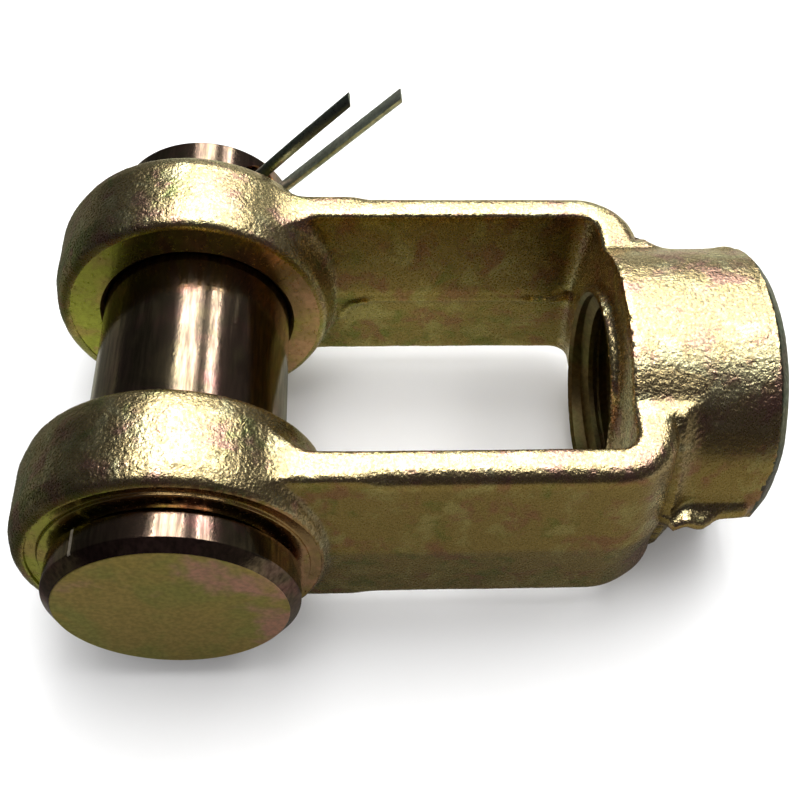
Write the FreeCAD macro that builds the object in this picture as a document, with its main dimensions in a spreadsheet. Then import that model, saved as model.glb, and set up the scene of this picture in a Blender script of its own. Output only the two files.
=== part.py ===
import FreeCAD, Part
import math
import os

import Sketcher
from FreeCAD import Placement, Rotation, Vector

# Clevis rod end: a forged fork (the yoke), a headed clevis pin and a split pin.
# Frame: the origin is on the pin axis, midway between the ears. +X runs from the pin to the
# threaded shank, the pin lies along Y with its head at -Y, and +Z is up. Lengths in millimetres.
# The yoke is a drop forging that parts on the plane z = 0, so its walls lean both ways from it.

SIZES = (
    ("pin_diameter", 14.0, "shaft of the clevis pin"),
    ("pin_clearance", 0.08, "radial play of the pin in the ears"),
    ("head_diameter", 16.6, "head of the clevis pin"),
    ("head_thickness", 2.7, "height of the head along the pin"),
    ("head_chamfer", 0.75, "bevel round the front of the head"),
    ("head_back_chamfer", 0.25, "bevel round the back of the head"),
    ("head_gap", 0.55, "end play between the head and its ear"),
    ("pin_length", 34.9, "pin from under the head to its end"),
    ("pin_end_chamfer", 0.7, "bevel on the far end of the pin"),
    ("split_clearance", 0.455, "radial play of the split pin in its hole"),
    ("cross_hole_margin", 2.1, "ear face to the middle of that hole"),
    ("split_angle", 45.0, "lean of the split pin above the X axis, in degrees"),
    ("wire_radius", 0.62, "half-round wire of the split pin"),
    ("leg_gap", 1.85, "between the flat sides of the two legs"),
    ("long_leg", 20.8, "pin axis to the tip of the long leg"),
    ("short_leg", 17.9, "pin axis to the tip of the short leg"),
    ("leg_tip_slant", 0.4, "slanted cut on each leg tip"),
    ("eye_radius", 1.9, "inside of the split pin's eye"),
    ("eye_neck_radius", 1.2, "bend from the legs into the eye"),
    ("eye_standoff", 0.65, "pin surface to the first bend of the eye"),
    ("fork_gap", 14.1, "between the two ears"),
    ("ear_thickness", 7.28, "each ear along the pin"),
    ("ear_radius", 10.55, "round rim of the ears"),
    ("ear_offset", 0.3, "forged ear centre ahead of the drilled hole"),
    ("ear_blend_radius", 4.0, "side view, ear rim into the arm"),
    ("rim_edge_radius", 0.9, "rounded edge of the ear rims"),
    ("rim_relief", 0.25, "fall of the rim at its edges"),
    ("boss_draft", 12.0, "lean of the ear bosses, in degrees"),
    ("inner_root_radius", 2.4, "inner boss into the arm"),
    ("outer_root_radius", 1.0, "outer boss into the arm"),
    ("bore_chamfer", 0.35, "bevel at the mouths of the pin holes"),
    ("arm_gap", 20.9, "between the arms at their edges"),
    ("arm_thickness", 2.3, "each arm at its edges"),
    ("arm_height", 15.6, "arms from lower to upper edge"),
    ("draft_angle", 6.0, "lean of the forged walls, in degrees"),
    ("arm_edge_radius", 0.7, "rounded outer edges of the arms"),
    ("slot_edge_radius", 0.35, "rounded inner edges of the arms"),
    ("slot_depth", 30.06, "pin axis to the end wall of the slot"),
    ("slot_corner_radius", 0.5, "slot corners on the parting plane"),
    ("shoulder_wall", 2.9, "end wall of the slot to the back of the shoulder"),
    ("shoulder_radius", 5.2, "shoulder corners on the parting plane"),
    ("shank_diameter", 20.8, "round shank round the thread"),
    ("shank_end", 40.9, "pin axis to the end of the shank"),
    ("shank_chamfer", 1.1, "bevel on the end of the shank"),
    ("shank_root_radius", 3.0, "hollow curve of the shank's root"),
    ("shank_root_length", 2.9, "that root along the shank"),
    ("underfill_depth", 0.75, "lower near side of the shank, short of round"),
    ("underfill_angle", 42.0, "middle of that side below the parting plane, in degrees"),
    ("thread_diameter", 14.0, "threaded hole, over the threads"),
    ("thread_pitch", 1.5, "rise of the thread in one turn"),
    ("countersink_play", 0.3, "countersinks beyond the thread, on the radius"),
    ("flash_thickness", 0.9, "trimmed flash left on the parting plane"),
    ("flash_width", 1.5, "reach of that flash from the shank"),
)

# Spare metal on the forged blank beyond the outline that it is cut to
BLANK_STOCK = 0.6
# Depth that a boss reaches into the arm that carries it
BOSS_SINK = 0.1
# Start of the shank's root, ahead of the shoulder's back edges
ROOT_SINK = 0.5
# Inside diameter of a metric thread is its diameter less this many pitches
THREAD_DEPTH_PITCHES = 1.0825
# Distance that a cutting outline runs past the metal
CUT_MARGIN = 4.0
# Start of the shank's underfill past the shoulder: at the outside and at full depth
UNDERFILL_START = (0.3, 1.6)
# Trimmed flash from the shoulder to the end of the shank: share of the length, share of the reach
FLASH_EDGE = ((0.08, 1.0), (0.42, 0.92), (0.58, 0.45), (0.88, 0.4))
# Depth of the flash into the shank, as a share of its reach
FLASH_ROOT = 0.7
# Reach of a tip cut past the wire, as a share of the wire
TIP_OVERRUN = 1.25


def make_sheet(doc):
    """Write the driving sizes into a sheet and return them as a dictionary."""
    sheet = doc.addObject("Spreadsheet::Sheet", "sizes")
    values = {}
    for row, (alias, value, note) in enumerate(SIZES, start=1):
        sheet.set("A%d" % row, alias)
        sheet.set("B%d" % row, str(value))
        sheet.set("C%d" % row, note)
        sheet.setAlias("B%d" % row, alias)
        values[alias] = value
    doc.recompute()
    return values


class Outline:
    """A closed sketch outline on one of its body's own planes, bound to the sheet."""

    def __init__(self, body, role, name):
        plane = next(item for item in body.Origin.OriginFeatures if item.Role == role)
        self.sketch = body.newObject("Sketcher::SketchObject", name)
        self.sketch.AttachmentSupport = [(plane, "")]
        self.sketch.MapMode = "FlatFace"
        self.edges = []

    def line(self, start, end):
        """Add a straight edge and return its number."""
        geometry = Part.LineSegment(Vector(start[0], start[1], 0), Vector(end[0], end[1], 0))
        index = self.sketch.addGeometry(geometry, False)
        self.edges.append((index, 1, 2))
        return len(self.edges) - 1

    def arc(self, centre, radius, start_angle, end_angle):
        """Add an arc that runs from one angle to the other, in degrees."""
        clockwise = end_angle < start_angle
        low, high = sorted((math.radians(start_angle), math.radians(end_angle)))
        circle = Part.Circle(Vector(centre[0], centre[1], 0), Vector(0, 0, 1), radius)
        index = self.sketch.addGeometry(Part.ArcOfCircle(circle, low, high), False)
        self.edges.append((index, 2, 1) if clockwise else (index, 1, 2))
        return len(self.edges) - 1

    def chain(self, smooth=()):
        """Join each edge to the next one, smoothly after the edges that are named."""
        for number in range(len(self.edges) - 1):
            self.join(number, number + 1, number in smooth)

    def close(self, smooth=()):
        """Join the edges into a closed outline."""
        self.chain(smooth)
        self.join(len(self.edges) - 1, 0, False)

    def join(self, number, follower, smooth):
        """Join the end of one edge to the start of another."""
        index, _, last = self.edges[number]
        other, first, _ = self.edges[follower]
        kind = "Tangent" if smooth else "Coincident"
        self.sketch.addConstraint(Sketcher.Constraint(kind, index, last, other, first))

    def rule(self, kind, *edges):
        """Make edges horizontal, vertical or equal."""
        indices = [self.edges[edge][0] for edge in edges]
        if kind == "Equal":
            for other in indices[1:]:
                self.sketch.addConstraint(Sketcher.Constraint(kind, indices[0], other))
            return
        for index in indices:
            self.sketch.addConstraint(Sketcher.Constraint(kind, index))

    def bind(self, constraint, formula):
        """Add a dimension and bind it to a formula of the sheet's sizes."""
        number = self.sketch.addConstraint(constraint)
        self.sketch.setExpression("Constraints[%d]" % number, formula)

    def radius(self, edge, formula):
        """Bind the radius of an arc."""
        index = self.edges[edge][0]
        size = self.sketch.Geometry[index].Radius
        self.bind(Sketcher.Constraint("Radius", index, size), formula)

    def point(self, edge, which, x=None, y=None):
        """Bind the place of an edge's first, last or centre point."""
        index, first, last = self.edges[edge]
        position = {"first": first, "last": last, "centre": 3}[which]
        place = self.sketch.getPoint(index, position)
        if x is not None:
            self.bind(Sketcher.Constraint("DistanceX", -1, 1, index, position, place.x), x)
        if y is not None:
            self.bind(Sketcher.Constraint("DistanceY", -1, 1, index, position, place.y), y)

    def circle(self, centre, radius, x, y, radius_formula):
        """Add a whole circle with its place and radius bound."""
        shape = Part.Circle(Vector(centre[0], centre[1], 0), Vector(0, 0, 1), radius)
        index = self.sketch.addGeometry(shape, False)
        self.bind(Sketcher.Constraint("Radius", index, radius), radius_formula)
        self.bind(Sketcher.Constraint("DistanceX", -1, 1, index, 3, centre[0]), x)
        self.bind(Sketcher.Constraint("DistanceY", -1, 1, index, 3, centre[1]), y)


def polygon(body, role, name, corners):
    """Draw a straight-sided outline; each corner is x, y and the formulas that bind them."""
    outline = Outline(body, role, name)
    for number, corner in enumerate(corners):
        follower = corners[(number + 1) % len(corners)]
        outline.line(corner[:2], follower[:2])
    outline.close()
    for number, corner in enumerate(corners):
        outline.point(number, "first", x=corner[2], y=corner[3])
    return outline.sketch


def feature(body, kind, name, profile, **settings):
    """Add a PartDesign feature made from a sketch."""
    made = body.newObject("PartDesign::" + kind, name)
    made.Profile = profile
    for key, value in settings.items():
        setattr(made, key, value)
    profile.Visibility = False
    body.Document.recompute()
    return made


def samples(edge):
    """Three places along an edge: near its start, its middle and near its end."""
    first, last = edge.ParameterRange
    return [edge.valueAt(first + (last - first) * share) for share in (0.02, 0.5, 0.98)]


def dress(body, kind, name, picks, formula):
    """Round or bevel the picked edges of the body's latest shape."""
    base = body.Tip
    names = ["Edge%d" % (number + 1) for number, edge in enumerate(base.Shape.Edges) if picks(edge)]
    made = body.newObject("PartDesign::" + kind, name)
    made.Base = (base, names)
    made.setExpression("Radius" if kind == "Fillet" else "Size", formula)
    body.Document.recompute()
    return made


def mirror(body, name, source, role):
    """Repeat a feature on the other side of one of the body's own planes."""
    plane = next(item for item in body.Origin.OriginFeatures if item.Role == role)
    pair = body.newObject("PartDesign::Mirrored", name)
    pair.Originals = [source]
    pair.MirrorPlane = (plane, [""])
    body.Tip = pair
    body.Document.recompute()
    return pair


# Formulas that several sketches share

AXIS = "0 * sizes.pin_diameter"
DRAFT_SHIFT = "tan(sizes.draft_angle) * sizes.arm_height / 2"
ARM_INSIDE = "sizes.arm_gap / 2"
ARM_OUTSIDE = "(sizes.arm_gap / 2 + sizes.arm_thickness)"
EAR_INSIDE = "sizes.fork_gap / 2"
EAR_OUTSIDE = "(sizes.fork_gap / 2 + sizes.ear_thickness)"
SPLIT_PLACE = EAR_OUTSIDE + " + sizes.cross_hole_margin"
THREAD_BORE = "(sizes.thread_diameter - %s * sizes.thread_pitch) / 2" % THREAD_DEPTH_PITCHES


def draft_shift(size):
    """How far a forged wall leans out between an arm's edge and the parting plane."""
    return math.tan(math.radians(size["draft_angle"])) * size["arm_height"] / 2


# The yoke


def plan_outline(body, size, name, height, height_formula):
    """The fork seen from above at one height: two arms and the shoulder that joins them."""
    fall = math.tan(math.radians(size["draft_angle"])) * height
    lean = draft_shift(size) - fall
    outer = size["arm_gap"] / 2 + size["arm_thickness"] + lean
    inner = size["arm_gap"] / 2 - lean
    wall = size["slot_depth"] - lean
    back = size["slot_depth"] + size["shoulder_wall"] + lean
    corner = size["shoulder_radius"] - fall
    notch = size["slot_corner_radius"] + fall
    fall_formula = "tan(sizes.draft_angle) * (%s)" % height_formula
    lean_formula = "(%s - %s)" % (DRAFT_SHIFT, fall_formula)

    plan = Outline(body, "XY_Plane", name)
    plan.sketch.setExpression("AttachmentOffset.Base.z", height_formula)
    plan.line((0, outer), (back - corner, outer))
    plan.arc((back - corner, outer - corner), corner, 90, 0)
    plan.line((back, outer - corner), (back, corner - outer))
    plan.arc((back - corner, corner - outer), corner, 0, -90)
    plan.line((back - corner, -outer), (0, -outer))
    plan.line((0, -outer), (0, -inner))
    plan.line((0, -inner), (wall - notch, -inner))
    plan.arc((wall - notch, notch - inner), notch, -90, 0)
    plan.line((wall, notch - inner), (wall, inner - notch))
    plan.arc((wall - notch, inner - notch), notch, 0, 90)
    plan.line((wall - notch, inner), (0, inner))
    plan.line((0, inner), (0, outer))
    plan.close(smooth=(0, 1, 2, 3, 6, 7, 8, 9))
    plan.rule("Horizontal", 0, 4, 6, 10)
    plan.rule("Vertical", 2, 5, 8, 11)
    plan.rule("Equal", 1, 3)
    plan.rule("Equal", 7, 9)
    plan.point(0, "first", x=AXIS, y=ARM_OUTSIDE + " + " + lean_formula)
    plan.point(4, "last", x=AXIS, y="-" + ARM_OUTSIDE + " - " + lean_formula)
    plan.point(6, "first", y="-" + ARM_INSIDE + " + " + lean_formula)
    plan.point(10, "last", y=ARM_INSIDE + " - " + lean_formula)
    plan.point(2, "first", x="sizes.slot_depth + sizes.shoulder_wall + " + lean_formula)
    plan.point(8, "first", x="sizes.slot_depth - " + lean_formula)
    plan.radius(1, "sizes.shoulder_radius - " + fall_formula)
    plan.radius(7, "sizes.slot_corner_radius + " + fall_formula)
    return plan.sketch


def ear_outline(body, size):
    """Half section of one ear's boss, with its rounded rim and its roots on the arm."""
    middle = -size["ear_offset"]
    lean = math.radians(size["boss_draft"])
    side = math.cos(lean)
    rise = math.sin(lean)
    edge = size["rim_edge_radius"]
    wall = middle + size["ear_radius"] - size["rim_relief"]
    near = size["fork_gap"] / 2
    far = near + size["ear_thickness"]
    near_sink = size["arm_gap"] / 2 + BOSS_SINK
    far_sink = size["arm_gap"] / 2 + size["arm_thickness"] - BOSS_SINK
    near_root = size["inner_root_radius"]
    far_root = size["outer_root_radius"]
    angle = size["boss_draft"]

    near_start = near + edge * (1 - rise)
    near_end = near_sink - near_root * (1 - rise)
    near_reach = wall + (near_end - near_start) * math.tan(lean)
    near_hub = near_reach + near_root * side
    far_start = far - edge * (1 - rise)
    far_end = far_sink + far_root * (1 - rise)
    far_reach = wall + (far_start - far_end) * math.tan(lean)
    far_hub = far_reach + far_root * side

    ear = Outline(body, "XY_Plane", "ear_outline")
    ear.line((middle, near), (wall - edge * side, near))
    ear.arc((wall - edge * side, near + edge), edge, -90, -angle)
    ear.line((wall, near_start), (near_reach, near_end))
    ear.arc((near_hub, near_sink - near_root), near_root, 180 - angle, 90)
    ear.line((near_hub, near_sink), (far_hub, far_sink))
    ear.arc((far_hub, far_sink + far_root), far_root, 270, 180 + angle)
    ear.line((far_reach, far_end), (wall, far_start))
    ear.arc((wall - edge * side, far - edge), edge, angle, 90)
    ear.line((wall - edge * side, far), (middle, far))
    ear.line((middle, far), (middle, near))
    ear.close(smooth=(0, 1, 2, 5, 6, 7))
    ear.rule("Horizontal", 0, 8)
    ear.rule("Vertical", 9)
    ear.rule("Equal", 1, 7)
    ear.point(0, "first", x="-sizes.ear_offset", y=EAR_INSIDE)
    ear.point(8, "last", y=EAR_OUTSIDE)
    ear.radius(1, "sizes.rim_edge_radius")
    ear.point(2, "first", x="sizes.ear_radius - sizes.rim_relief - sizes.ear_offset")
    ear.point(6, "last", x="sizes.ear_radius - sizes.rim_relief - sizes.ear_offset")
    upright = math.pi / 2
    near_wall = ear.edges[2][0]
    far_wall = ear.edges[6][0]
    ear.bind(Sketcher.Constraint("Angle", near_wall, upright - lean), "90 - sizes.boss_draft")
    ear.bind(Sketcher.Constraint("Angle", far_wall, upright + lean), "90 + sizes.boss_draft")
    ear.radius(3, "sizes.inner_root_radius")
    ear.radius(5, "sizes.outer_root_radius")
    ear.point(3, "last", y=ARM_INSIDE + " + %s" % BOSS_SINK)
    ear.point(5, "first", y=ARM_OUTSIDE + " - %s" % BOSS_SINK)
    for arc in (3, 5):
        index, first, last = ear.edges[arc]
        end = last if arc == 3 else first
        ear.sketch.addConstraint(Sketcher.Constraint("Vertical", index, 3, index, end))
    axis = Part.LineSegment(Vector(middle, near, 0), Vector(middle, far, 0))
    centre_line = ear.sketch.addGeometry(axis, True)
    bottom = ear.edges[0]
    top = ear.edges[8]
    joins = ((1, bottom[0], bottom[1]), (2, top[0], top[2]))
    for end, edge_index, position in joins:
        link = Sketcher.Constraint("Coincident", centre_line, end, edge_index, position)
        ear.sketch.addConstraint(link)
    return ear.sketch


def side_trim(body, size, name):
    """Metal to cut away round the side view of the fork: round ears and straight arms."""
    middle = -size["ear_offset"]
    rim = size["ear_radius"]
    half = size["arm_height"] / 2
    blend = size["ear_blend_radius"]
    hub_height = half + blend
    hub = middle + math.sqrt((rim + blend) ** 2 - hub_height ** 2)
    angle = math.degrees(math.atan2(hub_height, hub - middle))
    end = size["slot_depth"] + size["shoulder_wall"] + CUT_MARGIN
    reach = rim + size["shank_diameter"] / 2
    start = middle - reach

    trim = Outline(body, "XZ_Plane", name)
    trim.line((end, half), (hub, half))
    trim.arc((hub, hub_height), blend, 270, 180 + angle)
    trim.arc((middle, 0), rim, angle, 360 - angle)
    trim.arc((hub, -hub_height), blend, 180 - angle, 90)
    trim.line((hub, -half), (end, -half))
    trim.line((end, -half), (end, -reach))
    trim.line((end, -reach), (start, -reach))
    trim.line((start, -reach), (start, reach))
    trim.line((start, reach), (end, reach))
    trim.line((end, reach), (end, half))
    trim.close(smooth=(0, 1, 2, 3))
    trim.rule("Horizontal", 0, 4, 6, 8)
    trim.rule("Vertical", 5, 7, 9)
    trim.rule("Equal", 1, 3)
    trim.point(2, "centre", x="-sizes.ear_offset", y=AXIS)
    trim.radius(2, "sizes.ear_radius")
    trim.radius(1, "sizes.ear_blend_radius")
    trim.point(0, "first", y="sizes.arm_height / 2")
    trim.point(4, "last", y="-sizes.arm_height / 2")
    past = "sizes.slot_depth + sizes.shoulder_wall + %s" % CUT_MARGIN
    above = "sizes.ear_radius + sizes.shank_diameter / 2"
    trim.point(5, "last", x=past, y="-(%s)" % above)
    trim.point(9, "first", x=past)
    trim.point(7, "last", x="-sizes.ear_offset - (%s)" % above, y=above)
    return trim.sketch


def shank_outline(body, size):
    """Half section of the round shank."""
    start = size["slot_depth"]
    end = size["shank_end"]
    rim = size["shank_diameter"] / 2
    bevel = size["shank_chamfer"]

    rim_formula = "sizes.shank_diameter / 2"
    corners = (
        (start, 0, "sizes.slot_depth", AXIS),
        (start, rim, "sizes.slot_depth", rim_formula),
        (end - bevel, rim, "sizes.shank_end - sizes.shank_chamfer", rim_formula),
        (end, rim - bevel, "sizes.shank_end", rim_formula + " - sizes.shank_chamfer"),
        (end, 0, "sizes.shank_end", AXIS),
    )
    return polygon(body, "XZ_Plane", "shank_outline", corners)


def thread_bore(body, size):
    """Half section of the hole for the thread, with a countersink at each mouth."""
    bore = (size["thread_diameter"] - THREAD_DEPTH_PITCHES * size["thread_pitch"]) / 2
    mouth = size["thread_diameter"] / 2 + size["countersink_play"]
    sink = mouth - bore
    wall = size["slot_depth"] - draft_shift(size)
    end = size["shank_end"]
    mouth_formula = "(sizes.thread_diameter / 2 + sizes.countersink_play)"
    sink_formula = "(%s - %s)" % (mouth_formula, THREAD_BORE)
    wall_formula = "sizes.slot_depth - " + DRAFT_SHIFT
    corners = (
        (wall - 1, 0, wall_formula + " - 1", AXIS),
        (wall - 1, mouth, wall_formula + " - 1", mouth_formula),
        (wall, mouth, wall_formula, mouth_formula),
        (wall + sink, bore, wall_formula + " + " + sink_formula, THREAD_BORE),
        (end - sink, bore, "sizes.shank_end - " + sink_formula, THREAD_BORE),
        (end, mouth, "sizes.shank_end", mouth_formula),
        (end + 1, mouth, "sizes.shank_end + 1", mouth_formula),
        (end + 1, 0, "sizes.shank_end + 1", AXIS),
    )
    return polygon(body, "XZ_Plane", "thread_bore", corners)


def flash_outline(body, size):
    """Ragged edge that the trimmed flash leaves along the near side of the shank."""
    back = size["slot_depth"] + size["shoulder_wall"]
    run = size["shank_end"] - size["shank_chamfer"] - back
    rim = size["shank_diameter"] / 2
    run_formula = "(sizes.shank_end - sizes.shank_chamfer - sizes.slot_depth - sizes.shoulder_wall)"
    points = ((0.0, -FLASH_ROOT),) + FLASH_EDGE + ((1.0, -FLASH_ROOT),)
    corners = []
    for share, reach in points:
        along = "sizes.slot_depth + sizes.shoulder_wall + %s * %s" % (run_formula, share)
        out = "-sizes.shank_diameter / 2 - sizes.flash_width * %s" % reach
        corners.append((back + run * share, -rim - size["flash_width"] * reach, along, out))
    return polygon(body, "XY_Plane", "flash_outline", corners)


def underfill_outline(body, size):
    """Side view of the metal that the shank's lower near side lacks, on a plane through its axis."""
    back = size["slot_depth"] + size["shoulder_wall"]
    rim = size["shank_diameter"] / 2
    low = rim - size["underfill_depth"]
    high = rim + size["shank_root_radius"]
    past = size["shank_end"] + 1
    outside, inside = UNDERFILL_START
    back_formula = "sizes.slot_depth + sizes.shoulder_wall + %s"
    low_formula = "sizes.shank_diameter / 2 - sizes.underfill_depth"
    high_formula = "sizes.shank_diameter / 2 + sizes.shank_root_radius"
    corners = (
        (back + outside, high, back_formula % outside, high_formula),
        (back + inside, low, back_formula % inside, low_formula),
        (past, low, "sizes.shank_end + 1", low_formula),
        (past, high, "sizes.shank_end + 1", high_formula),
    )
    sketch = polygon(body, "XZ_Plane", "underfill_outline", corners)
    turn = Rotation(Vector(1, 0, 0), 90 + size["underfill_angle"])
    sketch.AttachmentOffset = Placement(Vector(), turn)
    sketch.setExpression("AttachmentOffset.Rotation.Angle", "90 + sizes.underfill_angle")
    return sketch


def shank_root(body, size):
    """Half section of the hollow-sided root that carries the shank out of the shoulder."""
    rim = size["shank_diameter"] / 2
    radius = size["shank_root_radius"]
    reach = size["shank_root_length"]
    end = size["slot_depth"] + size["shoulder_wall"] + reach - ROOT_SINK
    start = end - reach
    angle = math.degrees(math.asin(reach / radius))
    height = rim + radius * (1 - math.cos(math.radians(angle)))

    root = Outline(body, "XZ_Plane", "shank_root_outline")
    root.line((start, 0), (start, height))
    root.arc((end, rim + radius), radius, 270 - angle, 270)
    root.line((end, rim), (end, 0))
    root.line((end, 0), (start, 0))
    root.close()
    root.rule("Vertical", 0, 2)
    root.rule("Horizontal", 3)
    back_formula = "sizes.slot_depth + sizes.shoulder_wall - %s" % ROOT_SINK
    root.point(3, "last", x=back_formula, y=AXIS)
    root.point(1, "centre", x=back_formula + " + sizes.shank_root_length",
               y="sizes.shank_diameter / 2 + sizes.shank_root_radius")
    root.radius(1, "sizes.shank_root_radius")
    root.point(2, "first", x=back_formula + " + sizes.shank_root_length")
    return root.sketch


def forge_bosses(doc, size):
    """The two round ears and the shank's root as forged, before they join the fork."""
    body = doc.addObject("PartDesign::Body", "bosses")
    profile = ear_outline(body, size)
    ear = feature(body, "Revolution", "ear_boss", profile, ReferenceAxis=(profile, ["Axis0"]))
    ear.Angle = 360
    mirror(body, "other_ear", ear, "XZ_Plane")
    profile = shank_root(body, size)
    feature(body, "Revolution", "shank_root", profile, ReferenceAxis=(profile, ["H_Axis"]), Angle=360)
    outline = side_trim(body, size, "boss_trim")
    feature(body, "Pocket", "boss_side_cut", outline, Type="ThroughAll", SideType="Symmetric")
    return body


def make_yoke(doc, size):
    """The forged fork, then its drilled and threaded holes."""
    bosses = forge_bosses(doc, size)
    body = doc.addObject("PartDesign::Body", "yoke")
    body.Label = "yoke"
    half_height = size["ear_radius"] + BLANK_STOCK
    half_height_formula = "sizes.ear_radius + %s" % BLANK_STOCK
    parting = plan_outline(body, size, "parting_outline", 0, AXIS)
    upper = plan_outline(body, size, "upper_outline", half_height, half_height_formula)
    half = feature(body, "AdditiveLoft", "upper_die_half", parting, Sections=[upper], Ruled=True)
    upper.Visibility = False
    mirror(body, "lower_die_half", half, "XY_Plane")
    outline = side_trim(body, size, "side_trim")
    feature(body, "Pocket", "side_cut", outline, Type="ThroughAll", SideType="Symmetric")

    edge_height = size["arm_height"] / 2
    middle_line = (size["arm_gap"] + size["arm_thickness"]) / 2
    wall_middle = size["slot_depth"] + size["shoulder_wall"] / 2

    def on_arm_edge(edge):
        """Whether an edge runs along the upper or lower edge of an arm or the shoulder."""
        level = all(abs(abs(place.z) - edge_height) < 1e-4 for place in samples(edge))
        crosses = edge.BoundBox.XLength < 1e-4 and edge.BoundBox.XMax < size["ear_radius"]
        return level and not crosses

    def outside(edge):
        """Whether an edge lies on the outer side of the fork."""
        middle = samples(edge)[1]
        return abs(middle.y) > middle_line or middle.x > wall_middle

    dress(body, "Fillet", "arm_outer_edges", lambda edge: on_arm_edge(edge) and outside(edge),
          "sizes.arm_edge_radius")
    dress(body, "Fillet", "arm_inner_edges", lambda edge: on_arm_edge(edge) and not outside(edge),
          "sizes.slot_edge_radius")
    joined = body.newObject("PartDesign::Boolean", "join_bosses")
    joined.setObjects([bosses])
    joined.Type = "Fuse"
    doc.recompute()

    profile = shank_outline(body, size)
    feature(body, "Revolution", "shank", profile, ReferenceAxis=(profile, ["H_Axis"]), Angle=360)
    profile = underfill_outline(body, size)
    feature(body, "Pocket", "underfill", profile, Type="ThroughAll", SideType="Symmetric")
    flash = feature(body, "Pad", "flash", flash_outline(body, size), SideType="Symmetric")
    flash.setExpression("Length", "sizes.flash_thickness")
    profile = thread_bore(body, size)
    feature(body, "Groove", "threaded_hole", profile, ReferenceAxis=(profile, ["H_Axis"]), Angle=360)

    bore = Outline(body, "XZ_Plane", "pin_hole_outline")
    radius = size["pin_diameter"] / 2 + size["pin_clearance"]
    bore.circle((0, 0), radius, AXIS, AXIS, "sizes.pin_diameter / 2 + sizes.pin_clearance")
    feature(body, "Pocket", "pin_holes", bore.sketch, Type="ThroughAll", SideType="Symmetric")

    def at_hole_mouth(edge):
        """Whether an edge is the round mouth of a pin hole."""
        places = samples(edge)
        return all(abs(math.hypot(place.x, place.z) - radius) < 1e-3 for place in places) \
            and edge.BoundBox.YLength < 1e-3

    dress(body, "Chamfer", "pin_hole_mouths", at_hole_mouth, "sizes.bore_chamfer")
    return body


# The clevis pin


def make_pin(doc, size):
    """The turned pin: a flat round head, a plain shaft and a cross hole near its end."""
    body = doc.addObject("PartDesign::Body", "clevis_pin")
    body.Label = "clevis_pin"
    shaft = size["pin_diameter"] / 2
    head = size["head_diameter"] / 2
    seat = -(size["fork_gap"] / 2 + size["ear_thickness"] + size["head_gap"])
    front = seat - size["head_thickness"]
    end = seat + size["pin_length"]
    bevel = size["head_chamfer"]
    back_bevel = size["head_back_chamfer"]
    tip_bevel = size["pin_end_chamfer"]
    seat_formula = "-(%s + sizes.head_gap)" % EAR_OUTSIDE
    front_formula = seat_formula + " - sizes.head_thickness"
    end_formula = seat_formula + " + sizes.pin_length"
    head_formula = "sizes.head_diameter / 2"
    shaft_formula = "sizes.pin_diameter / 2"
    corners = (
        (0, front, AXIS, front_formula),
        (head - bevel, front, head_formula + " - sizes.head_chamfer", front_formula),
        (head, front + bevel, head_formula, front_formula + " + sizes.head_chamfer"),
        (head, seat - back_bevel, head_formula, seat_formula + " - sizes.head_back_chamfer"),
        (head - back_bevel, seat, head_formula + " - sizes.head_back_chamfer", seat_formula),
        (shaft, seat, shaft_formula, seat_formula),
        (shaft, end - tip_bevel, shaft_formula, end_formula + " - sizes.pin_end_chamfer"),
        (shaft - tip_bevel, end, shaft_formula + " - sizes.pin_end_chamfer", end_formula),
        (0, end, AXIS, end_formula),
    )
    half = polygon(body, "XY_Plane", "pin_outline", corners)
    feature(body, "Revolution", "turned_pin", half, ReferenceAxis=(half, ["V_Axis"]), Angle=360)

    cross = Outline(body, "YZ_Plane", "cross_hole_outline")
    cross.sketch.AttachmentOffset = Placement(Vector(), Rotation(Vector(-1, 0, 0), size["split_angle"]))
    cross.sketch.setExpression("AttachmentOffset.Rotation.Angle", "sizes.split_angle")
    radius = size["leg_gap"] / 2 + size["wire_radius"] + size["split_clearance"]
    place = size["fork_gap"] / 2 + size["ear_thickness"] + size["cross_hole_margin"]
    cross.circle((place, 0), radius, SPLIT_PLACE, AXIS,
                 "sizes.leg_gap / 2 + sizes.wire_radius + sizes.split_clearance")
    feature(body, "Pocket", "cross_hole", cross.sketch, Type="ThroughAll", SideType="Symmetric")
    return body


# The split pin, drawn along its own X axis and then leaned into the cross hole


def bend_path(body, size):
    """Inner line of the bent wire: long leg, round eye, short leg."""
    half_gap = size["leg_gap"] / 2
    eye = size["eye_radius"]
    neck = size["eye_neck_radius"]
    start = -(size["pin_diameter"] / 2 + size["eye_standoff"])
    reach = eye + neck
    hub_height = half_gap + neck
    hub = start - math.sqrt(reach ** 2 - hub_height ** 2)
    angle = math.degrees(math.asin(hub_height / reach))

    path = Outline(body, "XZ_Plane", "bend_path")
    path.line((size["long_leg"], -half_gap), (start, -half_gap))
    path.arc((start, -hub_height), neck, 90, 180 - angle)
    path.arc((hub, 0), eye, -angle, angle - 360)
    path.arc((start, hub_height), neck, 180 + angle, 270)
    path.line((start, half_gap), (size["short_leg"], half_gap))
    path.chain(smooth=(0, 1, 2, 3))
    path.rule("Horizontal", 0, 4)
    path.rule("Equal", 1, 3)
    path.point(0, "first", x="sizes.long_leg", y="-sizes.leg_gap / 2")
    path.point(0, "last", x="-(sizes.pin_diameter / 2 + sizes.eye_standoff)")
    path.point(4, "first", x="-(sizes.pin_diameter / 2 + sizes.eye_standoff)")
    path.point(4, "last", x="sizes.short_leg", y="sizes.leg_gap / 2")
    path.radius(1, "sizes.eye_neck_radius")
    path.radius(2, "sizes.eye_radius")
    return path.sketch


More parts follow.
